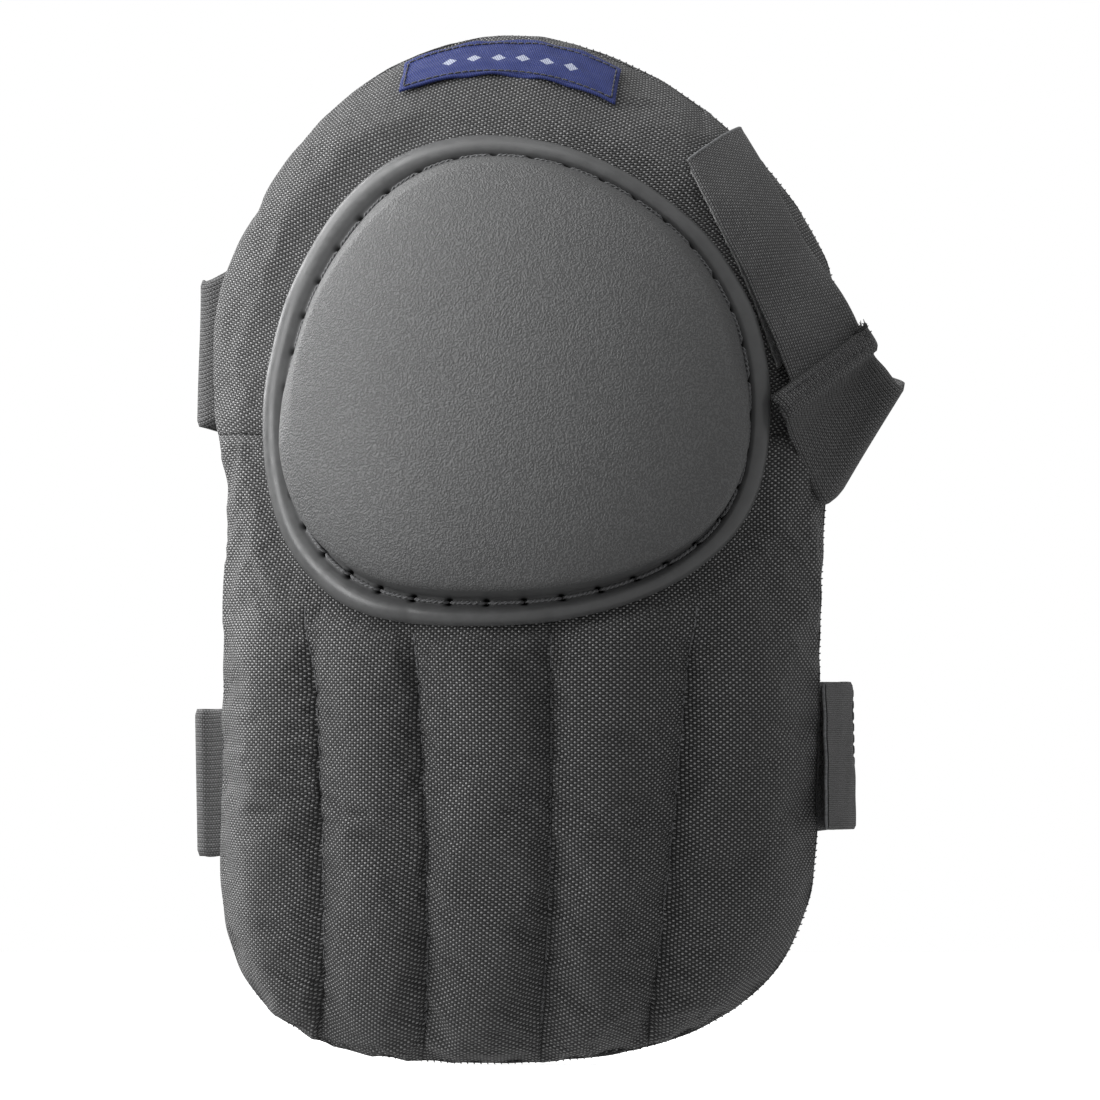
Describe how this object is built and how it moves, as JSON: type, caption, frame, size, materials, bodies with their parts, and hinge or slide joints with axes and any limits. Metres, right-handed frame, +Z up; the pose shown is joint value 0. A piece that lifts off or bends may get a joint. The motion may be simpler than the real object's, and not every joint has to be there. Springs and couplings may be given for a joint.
{
  "type": "knee pad",
  "caption": "Worker's knee pad: a hard domed cap sewn to a padded fabric shell with a quilted shin part, held to the leg by elastic straps that close with hook tape.",
  "frame": {"origin": "on the axis of the leg that wears the pad, level with the middle of the hard cap", "axes": "+Z up the leg, -Y out of the front of the cap, +X towards the side where the straps close"},
  "size_m": [0.1847, 0.1411, 0.2653],
  "materials": {
    "cap_shell": "fine pebbled grain with a low sheen",
    "cover_fabric": "plain-weave oxford cloth in two greys",
    "lining_fabric": "brushed knit lining",
    "foam": "closed-cell foam",
    "seam_tape": "overlocked edge",
    "grey_thread": "twisted thread",
    "dark_thread": "twisted thread",
    "label_cloth": "fine woven damask",
    "elastic": "ribbed elastic webbing",
    "hook_tape": "woven tape back",
    "loop_tape": "napped loop pile"
  },
  "bodies": {
    "pad": {"knee_cap": "cap_shell", "cap_stitching": "grey_thread", "dome_cushion": "foam", "upper_cover": "cover_fabric", "lower_cover": "cover_fabric", "knee_foam": "foam", "shin_foam_1": "foam", "shin_foam_2": "foam", "shin_foam_3": "foam", "shin_foam_4": "foam", "shin_foam_5": "foam", "back_lining": "lining_fabric", "edge_seam": "seam_tape", "channel_stitching": "grey_thread", "label": "label_cloth", "label_stitching": "dark_thread", "loop_patch": "loop_tape", "upper_strap": "elastic", "upper_anchor_stitching": "grey_thread", "lower_strap": "elastic", "lower_anchor_stitching": "grey_thread", "lower_loop_wing": "loop_tape", "wing_stitching": "grey_thread"},
    "upper_tab": {"upper_hook_tab": "hook_tape", "upper_tab_stitching": "dark_thread"},
    "lower_tab": {"lower_hook_tab": "hook_tape", "lower_tab_stitching": "dark_thread"}
  },
  "joints": [
    {"name": "upper_tab_peel", "type": "hinge", "parent": "pad", "child": "upper_tab", "pos_m": [0.07976, -0.02861, 0.00399], "axis": [0.4706, 0.6799, 0.5624], "range_deg": [0, 120]},
    {"name": "lower_tab_peel", "type": "hinge", "parent": "pad", "child": "lower_tab", "pos_m": [0.0831, 0.0097, -0.096], "axis": [0, 0, 1], "range_deg": [0, 120]}
  ]
}
